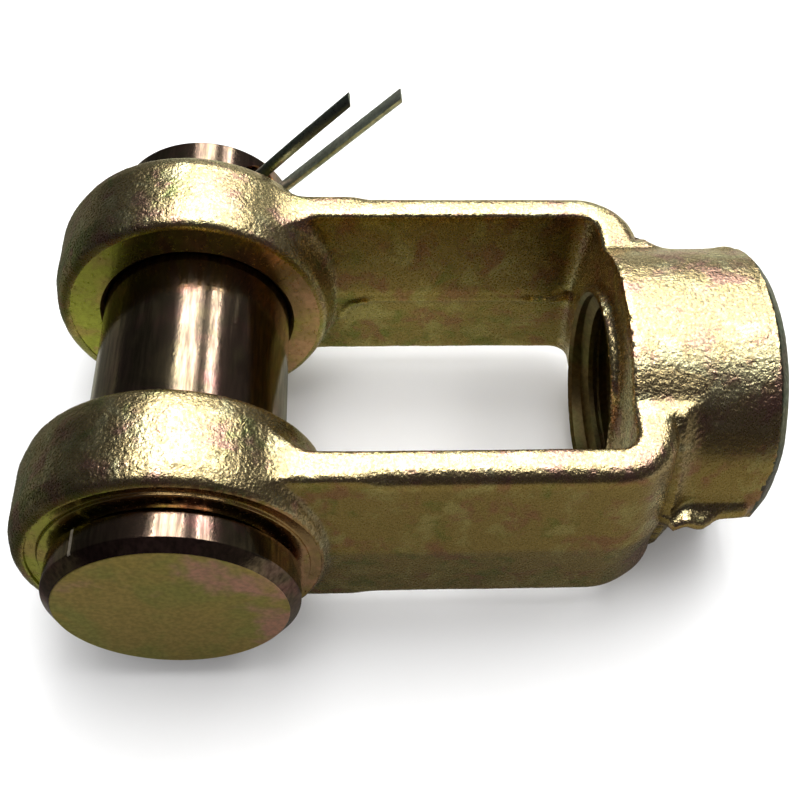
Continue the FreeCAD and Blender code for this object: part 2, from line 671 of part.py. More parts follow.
def wire_section(body, size):
    """Half-round section of the wire at the tip of the long leg, flat side inwards."""
    half_gap = size["leg_gap"] / 2
    wire = size["wire_radius"]
    section = Outline(body, "YZ_Plane", "wire_section")
    section.sketch.setExpression("AttachmentOffset.Base.z", "sizes.long_leg")
    section.arc((0, -half_gap), wire, 180, 360)
    section.line((wire, -half_gap), (-wire, -half_gap))
    section.close()
    section.rule("Horizontal", 1)
    section.point(0, "centre", x=AXIS, y="-sizes.leg_gap / 2")
    section.point(1, "first", y="-sizes.leg_gap / 2")
    section.radius(0, "sizes.wire_radius")
    return section.sketch


def tip_cuts(body, size):
    """Slanted cuts that leave the upper side of each leg tip longest."""
    half_gap = size["leg_gap"] / 2
    wire = size["wire_radius"]
    slant = size["leg_tip_slant"]
    legs = (
        (size["long_leg"], -half_gap, "sizes.long_leg", "-sizes.leg_gap / 2"),
        (size["short_leg"], half_gap + wire, "sizes.short_leg", "sizes.leg_gap / 2 + sizes.wire_radius"),
    )
    sketches = []
    for number, (tip, top, tip_formula, top_formula) in enumerate(legs):
        past = tip + CUT_MARGIN
        past_formula = "%s + %s" % (tip_formula, CUT_MARGIN)
        low = top - TIP_OVERRUN * wire
        low_formula = "%s - %s * sizes.wire_radius" % (top_formula, TIP_OVERRUN)
        back = tip - TIP_OVERRUN * slant
        back_formula = "%s - %s * sizes.leg_tip_slant" % (tip_formula, TIP_OVERRUN)
        corners = (
            (tip, top, tip_formula, top_formula),
            (past, top, past_formula, top_formula),
            (past, low, past_formula, low_formula),
            (back, low, back_formula, low_formula),
        )
        sketches.append(polygon(body, "XZ_Plane", "tip_cut_%d" % (number + 1), corners))
    return sketches


def make_split_pin(doc, size):
    """The bent wire with its eye, its long leg and its short leg."""
    body = doc.addObject("PartDesign::Body", "split_pin")
    body.Label = "split_pin"
    path = bend_path(body, size)
    wire = feature(body, "AdditivePipe", "bent_wire", wire_section(body, size), Spine=(path, [""]))
    wire.Mode = "Standard"
    path.Visibility = False
    for sketch in tip_cuts(body, size):
        name = sketch.Name.replace("cut", "slant")
        feature(body, "Pocket", name, sketch, Type="ThroughAll", SideType="Symmetric")
    body.Placement = Placement(Vector(), Rotation(Vector(0, -1, 0), size["split_angle"]))
    body.setExpression("Placement.Rotation.Angle", "sizes.split_angle")
    body.setExpression("Placement.Base.y", SPLIT_PLACE)
    return body


doc = FreeCAD.newDocument("clevis_rod_end")
size = make_sheet(doc)
pieces = (make_yoke(doc, size), make_pin(doc, size), make_split_pin(doc, size))
doc.recompute()

for item in doc.Objects:
    if "Invalid" in item.State or "Error" in item.State:
        raise RuntimeError("%s failed: %s" % (item.Name, item.State))
for piece in pieces:
    if piece.Shape.isNull() or not piece.Shape.isValid():
        raise RuntimeError(piece.Label + " has no valid shape")
os.makedirs("parts", exist_ok=True)
for piece in pieces:
    piece.Shape.exportStep("parts/%s.step" % piece.Label)
    print(piece.Label, "%.1f cubic mm" % piece.Shape.Volume)
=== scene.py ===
"""Looks of a forged clevis rod end: plated fork, turned clevis pin and bent split pin."""
import logging
import math
from collections.abc import Callable
from dataclasses import dataclass
from enum import Enum

import bmesh
import bpy
import numpy as np
from mathutils import Matrix, Vector


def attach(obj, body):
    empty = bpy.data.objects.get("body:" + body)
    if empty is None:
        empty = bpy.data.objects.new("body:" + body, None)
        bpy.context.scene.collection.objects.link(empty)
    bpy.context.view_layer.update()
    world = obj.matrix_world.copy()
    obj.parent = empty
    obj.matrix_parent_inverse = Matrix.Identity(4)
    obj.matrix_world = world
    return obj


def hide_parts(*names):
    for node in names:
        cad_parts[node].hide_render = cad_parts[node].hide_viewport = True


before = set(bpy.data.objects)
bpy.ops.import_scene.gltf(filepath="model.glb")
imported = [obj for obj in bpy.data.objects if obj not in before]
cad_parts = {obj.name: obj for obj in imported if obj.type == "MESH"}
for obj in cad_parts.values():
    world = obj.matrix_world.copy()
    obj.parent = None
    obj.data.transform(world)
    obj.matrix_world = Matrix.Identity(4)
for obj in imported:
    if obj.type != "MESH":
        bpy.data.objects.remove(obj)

LOG = logging.getLogger("clevis_rod_end")
MM = 0.001
WHITE = (1.0, 1.0, 1.0)
Pair = tuple[float, float]
Triple = tuple[float, float, float]
Picker = Callable[[np.ndarray, np.ndarray], np.ndarray]


class Axis(Enum):
    """Line that a turned form goes round."""

    SHANK = "x"
    PIN = "y"


class Finish(Enum):
    """Finishes of the three pieces, by the names of their materials."""

    FORGED = "forged_plating"
    MACHINED = "machined_plating"
    BORED_AND_SHADED = "bored_plating_painted_shade"
    END_BEVEL_SHADED = "end_bevel_painted_shade"
    TURNED = "turned_plating"
    FACED = "faced_plating"
    WORN = "worn_edge"
    DRAWN = "drawn_wire"
    SHADED_WIRE = "shaded_wire_painted"


Materials = dict[Finish, bpy.types.Material]


# Node trees


class Nodes:
    """Short way to fill a node tree, for shaders and for geometry."""

    def __init__(self, tree: bpy.types.NodeTree) -> None:
        """Keep the tree to fill."""
        self.tree = tree

    def put(self, node: bpy.types.Node, values: dict[str | int, object]) -> bpy.types.Node:
        """Set or link a node's inputs.

        Args:
            node: the node.
            values: values or sockets by input name or number; a colour may lack its alpha.

        Returns:
            The same node.
        """
        for key, value in values.items():
            socket = node.inputs[key]
            if isinstance(value, bpy.types.NodeSocket):
                self.tree.links.new(value, socket)
            elif isinstance(value, tuple):
                socket.default_value = (*value, 1.0)[:len(socket.default_value)]
            else:
                socket.default_value = value
        return node

    def add(self, kind: str, values: dict[str | int, object] | None = None,
            **settings: object) -> bpy.types.Node:
        """Add a node.

        Args:
            kind: the node's type name.
            values: values or sockets by input name or number.
            settings: properties set before the inputs.

        Returns:
            The new node.
        """
        node = self.tree.nodes.new(kind)
        for key, value in settings.items():
            setattr(node, key, value)
        return self.put(node, values or {})

    def math(self, operation: str, *values: object) -> bpy.types.NodeSocket:
        """Add a Math node and return its output."""
        return self.add("ShaderNodeMath", dict(enumerate(values)), operation=operation).outputs[0]

    def vector(self, operation: str, *values: object) -> bpy.types.NodeSocket:
        """Add a Vector Math node.

        Args:
            operation: its operation.
            values: its inputs in order.

        Returns:
            Its output, a number for a dot product and else a vector.
        """
        node = self.add("ShaderNodeVectorMath", dict(enumerate(values)), operation=operation)
        return node.outputs["Value" if operation == "DOT_PRODUCT" else "Vector"]

    def parts(self, vector: bpy.types.NodeSocket) -> bpy.types.bpy_prop_collection:
        """Split a vector into its X, Y and Z."""
        return self.add("ShaderNodeSeparateXYZ", {0: vector}).outputs

    def scaled(self, vector: bpy.types.NodeSocket, factor: object) -> bpy.types.NodeSocket:
        """Scale a vector by a number."""
        values = {0: vector, "Scale": factor}
        return self.add("ShaderNodeVectorMath", values, operation="SCALE").outputs["Vector"]

    def ramp(self, value: object, low: float, high: float, start: object = 0.0,
             end: object = 1.0) -> bpy.types.NodeSocket:
        """Turn a value from low to high smoothly into one from start to end.

        Args:
            value: the value.
            low: where the ramp starts.
            high: where the ramp ends.
            start: the result at low.
            end: the result at high.

        Returns:
            The result.
        """
        values = {"Value": value, "From Min": low, "From Max": high, "To Min": start, "To Max": end}
        node = self.add("ShaderNodeMapRange", values, interpolation_type="SMOOTHSTEP")
        return node.outputs["Result"]

    def line(self, value: bpy.types.NodeSocket, start: object, end: object) -> bpy.types.NodeSocket:
        """Turn a value from 0 to 1 evenly into one from start to end."""
        values = {"Value": value, "To Min": start, "To Max": end}
        return self.add("ShaderNodeMapRange", values).outputs["Result"]

    def blend(self, share: object, first: object, second: object,
              mode: str = "MIX") -> bpy.types.NodeSocket:
        """Mix two colours.

        Args:
            share: how much of the second is taken.
            first: the first colour.
            second: the second colour.
            mode: how they are mixed.

        Returns:
            The mixed colour.
        """
        node = self.add("ShaderNodeMix", {}, data_type="RGBA", blend_type=mode)
        return self.put(node, {0: share, 6: first, 7: second}).outputs[2]

    def noise(self, place: bpy.types.NodeSocket, scale: object, detail: float, rough: float,
              warp: float = 0.0) -> bpy.types.NodeSocket:
        """Add a noise texture.

        Args:
            place: where it is read.
            scale: its waves a millimetre.
            detail: its finer layers.
            rough: the weight of the finer layers.
            warp: how far it bends itself.

        Returns:
            Its level.
        """
        values = {"Vector": place, "Scale": scale, "Detail": detail, "Roughness": rough,
                  "Distortion": warp}
        return self.add("ShaderNodeTexNoise", values).outputs[0]


def group_sockets(tree: bpy.types.NodeTree, inputs: dict[str, tuple[str, object]],
                  outputs: dict[str, str]) -> None:
    """Make the sockets of a node group.

    Args:
        tree: the group.
        inputs: socket kind and default value by name.
        outputs: socket kind by name.
    """
    for name, (kind, value) in inputs.items():
        socket = tree.interface.new_socket(name=name, in_out="INPUT", socket_type=kind)
        if value is not None:
            socket.default_value = value
    for name, kind in outputs.items():
        tree.interface.new_socket(name=name, in_out="OUTPUT", socket_type=kind)


def finish_tree(make: Nodes, geometry: bpy.types.NodeSocket, finish: bpy.types.NodeSocket) -> None:
    """End a geometry tree with real meshes of one material.

    Args:
        make: the tree's nodes.
        geometry: what the tree made.
        finish: the material.
    """
    real = make.add("GeometryNodeRealizeInstances", {"Geometry": geometry})
    done = make.add("GeometryNodeSetMaterial", {"Geometry": real.outputs[0], "Material": finish})
    make.add("NodeGroupOutput", {"Geometry": done.outputs[0]})


def tint_group() -> bpy.types.NodeTree:
    """Build the shader group for the drifting colours of yellow zinc plating.

    Returns:
        A group that mixes four tints by slow and quick noise.
    """
    tree = bpy.data.node_groups.new("plating_tints", "ShaderNodeTree")
    grey = ("NodeSocketColor", (0.5, 0.5, 0.5, 1.0))
    group_sockets(tree, {
        "Place": ("NodeSocketVector", None),
        **dict.fromkeys(("Ground", "Olive", "Pink", "Gold"), grey),
        "Patch Scale": ("NodeSocketFloat", 0.3), "Speck Scale": ("NodeSocketFloat", 3.0),
        "Speck Strength": ("NodeSocketFloat", 0.3), "Olive Drift": ("NodeSocketVector", (0, 0, 0)),
        "Pink Drift": ("NodeSocketVector", (0, 0, 0)), "Stretch": ("NodeSocketVector", WHITE),
    }, {"Color": "NodeSocketColor", "Speck": "NodeSocketFloat"})
    make = Nodes(tree)
    given = make.add("NodeGroupInput").outputs
    away = make.vector("ADD", given["Place"], (17.0, 5.0, 31.0))
    beyond = make.vector("ADD", given["Place"], (-41.0, 23.0, 9.0))
    patches = [make.noise(place, given["Patch Scale"], 4.0, 0.6, 0.4)
               for place in (given["Place"], away, beyond)]
    for number, drift in enumerate(("Olive Drift", "Pink Drift")):
        lean = make.vector("DOT_PRODUCT", given["Place"], given[drift])
        patches[number] = make.math("ADD", patches[number], lean)
    drawn = make.vector("MULTIPLY", given["Place"], given["Stretch"])
    speck = make.ramp(make.noise(drawn, given["Speck Scale"], 3.0, 0.6), 0.3, 0.7)
    colour = make.blend(make.ramp(patches[0], 0.42, 0.62), given["Ground"], given["Olive"])
    colour = make.blend(make.ramp(patches[1], 0.52, 0.68), colour, given["Pink"])
    colour = make.blend(make.ramp(patches[2], 0.5, 0.66), colour, given["Gold"])
    dark = make.math("SUBTRACT", 1.0, given["Speck Strength"])
    colour = make.blend(1.0, colour, make.line(speck, dark, 1.15), "MULTIPLY")
    make.add("NodeGroupOutput", {"Color": colour, "Speck": speck})
    return tree


def grit_group() -> bpy.types.NodeTree:
    """Build the shader group for the height of a grit-blasted, plated skin.

    Returns:
        A group that puts out the height of small pits and pebbles.
    """
    tree = bpy.data.node_groups.new("grit_height", "ShaderNodeTree")
    group_sockets(tree, {
        "Place": ("NodeSocketVector", None), "Grain Scale": ("NodeSocketFloat", 2.0),
    }, {"Height": "NodeSocketFloat"})
    make = Nodes(tree)
    given = make.add("NodeGroupInput").outputs
    pebble = make.noise(given["Place"], given["Grain Scale"], 1.0, 0.5)
    double = make.math("MULTIPLY", given["Grain Scale"], 2.3)
    fine = make.noise(given["Place"], double, 2.0, 0.6)
    pebble, fine = make.math("MULTIPLY", pebble, 0.65), make.math("MULTIPLY", fine, 0.35)
    make.add("NodeGroupOutput", {"Height": make.math("ADD", pebble, fine)})
    return tree


@dataclass(frozen=True)
class Plating:
    """A plated finish; scales are in waves a millimetre and depths in millimetres.

    The painted side shade darkens the colour where the skin looks along the clevis pin; the side
    grain holds there too.
    """

    finish: Finish
    ground: Triple
    olive: Triple
    pink: Triple
    gold: Triple
    # Painted shade: the colour of the faces that look along the pin.
    painted_side_shade: Triple = WHITE
    side_grain: float = 1.0
    # Edge wear and painted shade: lighter convex edges as wear, darker concave creases as painted
    # shade.
    wear_and_crease_shade: float = 0.0
    olive_drift: Triple = (0.0, 0.0, 0.0)
    pink_drift: Triple = (0.0, 0.0, 0.0)
    stretch: Triple = WHITE
    patch_scale: float = 0.3
    speck_scale: float = 3.0
    speck_strength: float = 0.3
    grain_scale: float = 2.2
    grain_depth: float = 0.05
    smooth: float = 0.25
    rough: float = 0.45

    def material(self, tints: bpy.types.NodeTree, grit: bpy.types.NodeTree) -> bpy.types.Material:
        """Build the material.

        Args:
            tints: the shared group of the plating's colours.
            grit: the shared group of the skin's height.

        Returns:
            The material.
        """
        material = bpy.data.materials.new(self.finish.value)
        material.use_nodes = True
        material.node_tree.nodes.clear()
        make = Nodes(material.node_tree)
        texture = make.add("ShaderNodeTexCoord").outputs
        place = make.scaled(texture["Object"], 1 / MM)
        along_pin = make.math("ABSOLUTE", make.parts(texture["Normal"])["Y"])
        sideways = make.ramp(along_pin, 0.7, 0.95)
        strength = self.speck_strength
        tinted = make.put(make.add("ShaderNodeGroup", node_tree=tints), {
            "Place": place, "Ground": self.ground, "Olive": self.olive, "Pink": self.pink,
            "Gold": self.gold, "Patch Scale": self.patch_scale, "Speck Scale": self.speck_scale,
            "Speck Strength": make.ramp(sideways, 0.0, 1.0, strength, strength * self.side_grain),
            "Olive Drift": self.olive_drift, "Pink Drift": self.pink_drift,
            "Stretch": self.stretch})
        pitted = make.put(make.add("ShaderNodeGroup", node_tree=grit),
                          {"Place": place, "Grain Scale": self.grain_scale})
        # Painted shade on the faces that look along the pin.
        side_shade_colour = make.blend(sideways, WHITE, self.painted_side_shade)
        colour = make.blend(1.0, tinted.outputs["Color"], side_shade_colour, "MULTIPLY")
        # Convex edges lighter as wear, concave creases darker as painted shade.
        bend = make.add("ShaderNodeNewGeometry").outputs["Pointiness"]
        edge_wear_and_crease_shade = make.ramp(bend, 0.46, 0.54, 1.0 - 0.38 * self.wear_and_crease_shade, 1.0 + 0.15 * self.wear_and_crease_shade)
        colour = make.blend(1.0, colour, edge_wear_and_crease_shade, "MULTIPLY")
        depth = self.grain_depth * MM
        reach = make.ramp(sideways, 0.0, 1.0, depth, depth * self.side_grain)
        bump = make.add("ShaderNodeBump", {
            "Strength": 1.0, "Distance": reach, "Height": pitted.outputs["Height"]})
        shader = make.add("ShaderNodeBsdfPrincipled", {
            "Base Color": colour, "Metallic": 1.0, "Normal": bump.outputs["Normal"],
            "Roughness": make.line(tinted.outputs["Speck"], self.rough, self.smooth)})
        make.add("ShaderNodeOutputMaterial", {"Surface": shader.outputs["BSDF"]})
        return material


PLATINGS = (
    Plating(Finish.FORGED, ground=(0.79, 0.63, 0.32), olive=(0.53, 0.56, 0.23),
            pink=(0.75, 0.46, 0.33), gold=(0.94, 0.85, 0.48), painted_side_shade=(0.63, 0.59, 0.37),
            side_grain=0.1, wear_and_crease_shade=0.9, olive_drift=(-0.004, 0, -0.008), pink_drift=(0.001, 0, 0.002),
            patch_scale=0.42, speck_scale=5.0, speck_strength=0.52, grain_scale=3.4,
            grain_depth=0.078, smooth=0.2, rough=0.32),
    Plating(Finish.MACHINED, ground=(0.60, 0.40, 0.17), olive=(0.62, 0.66, 0.11),
            pink=(0.86, 0.50, 0.27), gold=(0.66, 0.53, 0.15), olive_drift=(-0.016, 0, 0),
            pink_drift=(0.014, 0, -0.006), speck_strength=0.15, grain_scale=5.0,
            grain_depth=0.01, smooth=0.18, rough=0.28),
    # The bores and the thread: a bored finish with a dark colour, painted shade inside the holes.
    Plating(Finish.BORED_AND_SHADED, ground=(0.22, 0.16, 0.07), olive=(0.20, 0.18, 0.07),
            pink=(0.28, 0.18, 0.10), gold=(0.26, 0.20, 0.08), speck_strength=0.2,
            grain_scale=5.0, grain_depth=0.012, smooth=0.3, rough=0.42),
    # The shank's end bevel: a near-black colour, painted shade for the dark room it mirrors.
    Plating(Finish.END_BEVEL_SHADED, ground=(0.14, 0.15, 0.11), olive=(0.11, 0.14, 0.09),
            pink=(0.18, 0.14, 0.11), gold=(0.19, 0.19, 0.11), grain_scale=3.4,
            grain_depth=0.06, smooth=0.28, rough=0.4),
    Plating(Finish.TURNED, ground=(0.34, 0.23, 0.17), olive=(0.28, 0.22, 0.14),
            pink=(0.42, 0.23, 0.19), gold=(0.38, 0.30, 0.18), stretch=(1.0, 0.1, 1.0),
            speck_strength=0.55, grain_scale=4.0, grain_depth=0.008, smooth=0.09, rough=0.2),
    Plating(Finish.FACED, ground=(0.66, 0.52, 0.17), olive=(0.54, 0.52, 0.15),
            pink=(0.84, 0.50, 0.36), gold=(0.66, 0.54, 0.16), pink_drift=(0.012, 0, 0.012),
            patch_scale=0.15, speck_strength=0.1, grain_scale=4.0, grain_depth=0.008,
            smooth=0.42, rough=0.5),
    Plating(Finish.WORN, ground=(0.85, 0.72, 0.62), olive=(0.8, 0.72, 0.6),
            pink=(0.9, 0.7, 0.62), gold=(0.9, 0.8, 0.66), smooth=0.5, rough=0.6),
    Plating(Finish.DRAWN, ground=(0.60, 0.64, 0.55), olive=(0.48, 0.53, 0.45),
            pink=(0.60, 0.60, 0.54), gold=(0.68, 0.70, 0.62), speck_strength=0.25,
            grain_scale=6.0, grain_depth=0.01, smooth=0.3, rough=0.5),
    # The short leg's darker copy of the wire: painted shade.
    Plating(Finish.SHADED_WIRE, ground=(0.27, 0.32, 0.28), olive=(0.20, 0.25, 0.22),
            pink=(0.28, 0.30, 0.27), gold=(0.36, 0.40, 0.33), grain_scale=6.0,
            grain_depth=0.01, smooth=0.25, rough=0.4),
)


# Mesh tools


def link(name: str, mesh: bpy.types.Mesh) -> bpy.types.Object:
    """Put a mesh in the scene as an object at the origin.

    Args:
        name: the object's name.
        mesh: its mesh.

    Returns:
        The object.
    """
    item = bpy.data.objects.new(name, mesh)
    bpy.context.scene.collection.objects.link(item)
    return item


def flatten(item: bpy.types.Object) -> None:
    """Turn an object's modifiers into a plain mesh of its own.

    Args:
        item: the object, which keeps its name.
    """
    bpy.context.view_layer.update()
    evaluated = item.evaluated_get(bpy.context.evaluated_depsgraph_get())
    mesh = bpy.data.meshes.new_from_object(evaluated)
    item.modifiers.clear()
    item.data = mesh


def run_tree(item: bpy.types.Object, tree: bpy.types.NodeTree, values: dict[str, object]) -> None:
    """Run a geometry tree on an object and keep the result as its plain mesh.

    Args:
        item: the object.
        tree: the geometry tree.
        values: the tree's inputs by name.
    """
    change = item.modifiers.new(tree.name, "NODES")
    change.node_group = tree
    for socket in tree.interface.items_tree:
        if socket.in_out == "INPUT" and socket.name in values:
            change[socket.identifier] = values[socket.name]
    flatten(item)


def rounded(points: list[Pair], radii: dict[int, float], steps: int = 6) -> list[Pair]:
    """Round some corners of an open outline.

    Args:
        points: the corners.
        radii: the radius at a corner, by its number.
        steps: the pieces of each round.

    Returns:
        The outline with arcs in it.
    """
    done: list[Pair] = []
    for number, corner in enumerate(points):
        if number not in radii:
            done.append(corner)
            continue
        here = Vector(corner)
        before = (Vector(points[number - 1]) - here).normalized()
        after = (Vector(points[number + 1]) - here).normalized()
        half = before.angle(after) / 2
        reach = radii[number] / math.tan(half)
        centre = here + (before + after).normalized() * radii[number] / math.sin(half)
        start = here + before * reach - centre
        turn = start.angle_signed(here + after * reach - centre)
        for part in range(steps + 1):
            arm = start.copy()
            arm.rotate(Matrix.Rotation(-turn * part / steps, 2))
            done.append(tuple(centre + arm))
    return done


def lathe(outline: list[Pair], axis: Axis, sides: int) -> bpy.types.Mesh:
    """Turn an outline of (radius, place along the axis) into a closed solid.

    Args:
        outline: from a point on the axis to another, in millimetres.
        axis: the axis to go round.
        sides: the number of sides.

    Returns:
        The mesh, in metres.
    """
    form = bmesh.new()
    rings = []
    for radius, along in outline:
        ring = []
        for side in range(sides if radius > 1e-6 else 1):
            angle = 2 * math.pi * side / sides
            across, height = radius * math.cos(angle), radius * math.sin(angle)
            place = (along, across, height) if axis is Axis.SHANK else (across, along, height)
            ring.append(form.verts.new(Vector(place) * MM))
        rings.append(ring)
    for ring, follower in zip(rings, rings[1:]):
        for side in range(sides):
            near = (side + 1) % sides
            corners = [ring[side % len(ring)], ring[near % len(ring)],
                       follower[near % len(follower)], follower[side % len(follower)]]
            corners = list(dict.fromkeys(corners))
            if len(corners) > 2:
                form.faces.new(corners)
    return closed(form, "turned")


def closed(form: bmesh.types.BMesh, name: str) -> bpy.types.Mesh:
    """Turn a form's faces outwards and make it a mesh.

    Args:
        form: the form, which is freed.
        name: the mesh's name.

    Returns:
        The mesh.
    """
    bmesh.ops.recalc_face_normals(form, faces=form.faces)
    mesh = bpy.data.meshes.new(name)
    form.to_mesh(mesh)
    form.free()
    return mesh


def cut(item: bpy.types.Object, tool: bpy.types.Mesh) -> None:
    """Take a tool's shape out of an object.

    Args:
        item: the object.
        tool: the tool's closed mesh.
    """
    cutter = link("cutter", tool)
    change = item.modifiers.new("cut", "BOOLEAN")
    change.operation = "DIFFERENCE"
    change.solver = "MANIFOLD"
    change.object = cutter
    flatten(item)
    bpy.data.objects.remove(cutter)


def shade(item: bpy.types.Object, angle: float) -> None:
    """Shade an object smooth, with edges sharper than an angle in degrees kept sharp."""
    item.data.shade_smooth()
    item.data.set_sharp_from_angle(angle=math.radians(angle))


def paint(item: bpy.types.Object, finishes: list[bpy.types.Material], pick: Picker) -> None:
    """Give an object its materials.

    Args:
        item: the object.
        finishes: its materials.
        pick: which material each face takes, from the faces' centres (mm) and normals.
    """
    item.data.materials.clear()
    for finish in finishes:
        item.data.materials.append(finish)
    faces = item.data.polygons
    centres, normals = np.empty(len(faces) * 3), np.empty(len(faces) * 3)
    faces.foreach_get("center", centres)
    faces.foreach_get("normal", normals)
    numbers = pick(centres.reshape(-1, 3) / MM, normals.reshape(-1, 3))
    faces.foreach_set("material_index", numbers.astype(np.int32))
    item.data.update()


def step(values: np.ndarray, low: float, high: float) -> np.ndarray:
    """Rise smoothly from 0 at low to 1 at high."""
    share = np.clip((values - low) / (high - low), 0, 1)
    return share * share * (3 - 2 * share)


def hump(values: np.ndarray, middle: float, reach: float, power: int = 2) -> np.ndarray:
    """Fall smoothly from 1 at the middle to nearly 0 beyond the reach."""
    return np.exp(-(((values - middle) / reach) ** power))


# Marks of the forge


@dataclass(frozen=True)
class Mark:
    """A soft mark on the skin: its middle, its reach and its move, in mm."""

    middle: Triple
    reach: Triple
    move: Triple

    def push(self, place: np.ndarray) -> np.ndarray:
        """Give the skin's moves at the mark."""
        away = (place - np.array(self.middle)) / np.array(self.reach)
        return np.exp(-(away ** 2).sum(axis=1))[:, None] * np.array(self.move)


@dataclass(frozen=True)
class PartingLine:
    """The ridge inside the arms where the dies met, and the curl at its end, sizes in mm."""

    height: float = -0.75
    width: float = 0.22
    rise: float = 0.09
    swell: float = 0.24
    swell_start: Pair = (24.5, 26.5)
    start: Pair = (12.5, 14.0)
    end: Pair = (28.4, 29.4)
    arm_middle: float = 9.8
    arm_reach: float = 0.9
    curl_middle: Pair = (13.1, -2.95)
    curl_radius: float = 2.1
    curl_width: float = 0.27
    curl_rise: float = 0.24
    curl_corner: Pair = (13.3, -3.3)

    def push(self, place: np.ndarray) -> np.ndarray:
        """Give the skin's moves along the line.

        Args:
            place: the skin's points.

        Returns:
            Their moves.
        """
        x, y, z = place.T
        far = y > 0
        ring = np.hypot(x - self.curl_middle[0], z - self.curl_middle[1])
        quarter = (x < self.curl_corner[0]) * (z > self.curl_corner[1]) * far
        curl = self.curl_rise * hump(ring, self.curl_radius, self.curl_width) * quarter
        line = hump(z, self.height, self.width) * step(x, *self.start) * (1 - step(x, *self.end))
        line *= self.rise + self.swell * step(x, *self.swell_start) * far
        move = np.zeros_like(place)
        wall = hump(np.abs(y), self.arm_middle, self.arm_reach, 4)
        move[:, 1] = -(curl + line) * wall * np.sign(y)
        return move


@dataclass(frozen=True)
class ShankSkin:
    """Where the shank strays from round, sizes in mm and angles in degrees from +Y."""

    radius: float = 10.4
    hollow: float = 0.85
    hollow_rise: Pair = (186.0, 204.0)
    hollow_fall: Pair = (232.0, 275.0)
    hollow_side: Pair = (184.0, 190.0)
    hollow_end: float = 300.0
    hollow_root: Pair = (33.8, 35.4)
    largest: float = 0.6
    rim_fill: float = 0.25
    rim_start: Pair = (39.7, 40.1)
    rim_reach: Pair = (8.8, 9.3)
    rim_gap_start: Pair = (150.0, 175.0)
    rim_gap_end: Pair = (265.0, 290.0)

    def push(self, place: np.ndarray) -> np.ndarray:
        """Give the moves that round the hollow side and fill out the end's rim.

        Args:
            place: the skin's points.

        Returns:
            Their moves.
        """
        x, y, z = place.T
        reach = np.hypot(y, z) + 1e-9
        around = np.degrees(np.arctan2(z, y)) % 360
        depth = self.hollow * step(around, *self.hollow_rise)
        depth *= 1 - step(around, *self.hollow_fall)
        spare = np.clip(reach - self.radius + depth, 0, self.largest) * step(x, *self.hollow_root)
        spare *= step(around, *self.hollow_side) * (around < self.hollow_end)
        full = self.rim_fill * step(x, *self.rim_start) * step(reach, *self.rim_reach)
        full *= 1 - step(around, *self.rim_gap_start) * (1 - step(around, *self.rim_gap_end))
        outward = (full - spare) / reach
        return np.stack([np.zeros_like(x), outward * y, outward * z], axis=1)


@dataclass(frozen=True)
class SoftEdges:
    """The rounds of the arms' and the shoulder's outer edges, sizes in mm."""

    hub: Pair = (28.58, 8.37)
    corner_radius: float = 4.38
    half_height: float = 7.8
    draft: float = 6.0
    radius: float = 1.2
    largest: float = 0.6
    slack: float = 0.08
    end: float = 33.3
    ear_gap: Pair = (11.5, 13.5)
    slot_gap: Pair = (7.4, 8.4)

    def push(self, place: np.ndarray) -> np.ndarray:
        """Give the moves that take the edges back to the round.

        Args:
            place: the skin's points.

        Returns:
            Their moves.
        """
        x, y, z = place.T
        out_x = np.clip(x - self.hub[0], 0, None)
        out_y = np.clip(np.abs(y) - self.hub[1], 0, None)
        out = np.hypot(out_x, out_y) + 1e-9
        fall = self.half_height - np.abs(z)
        inward = self.corner_radius - out + math.tan(math.radians(self.draft)) * fall
        over_plan = np.clip(self.radius - inward, 0, None)
        over_top = np.clip(self.radius - fall, 0, None)
        total = np.hypot(over_plan, over_top) + 1e-9
        push = np.clip(total - self.radius, 0, self.largest) * (fall > -self.slack) * (x < self.end)
        push *= step(x, *self.ear_gap) * step(np.abs(y), *self.slot_gap) / total
        sideways = push * over_plan / out
        return -np.stack([sideways * out_x, sideways * out_y * np.sign(y),
                          push * over_top * np.sign(z)], axis=1)


@dataclass(frozen=True)
class FlashLip:
    """How the trimmed flash droops away from its one high spot, sizes in mm."""

    droop: float = 0.5
    thickness: float = 0.8
    root: Pair = (10.3, 11.5)
    start: Pair = (33.0, 34.0)
    high_spot: float = 34.6
    high_reach: float = 0.6

    def push(self, place: np.ndarray) -> np.ndarray:
        """Give the moves that bend the flash down.

        Args:
            place: the skin's points.

        Returns:
            Their moves.
        """
        x, y, z = place.T
        lip = step(-y, *self.root) * hump(z, 0.0, self.thickness, 4) * step(x, *self.start)
        move = np.zeros_like(place)
        move[:, 2] = -self.droop * lip * (1 - hump(x, self.high_spot, self.high_reach))
        return move


FORGE_MARKS = (
    PartingLine(),
    Mark(middle=(29.1, 9.5, -0.3), reach=(0.8, 0.8, 0.5), move=(0.385, 0.385, 0.0)),
    Mark(middle=(33.0, -10.3, -6.2), reach=(1.7, 2.2, 2.6), move=(0.375, -0.275, -0.1)),
    Mark(middle=(39.0, 6.8, 7.9), reach=(0.8, 0.5, 0.6), move=(0.0, 0.132, 0.15)),
    ShankSkin(),
    SoftEdges(),
    FlashLip(),
)


# The forged fork


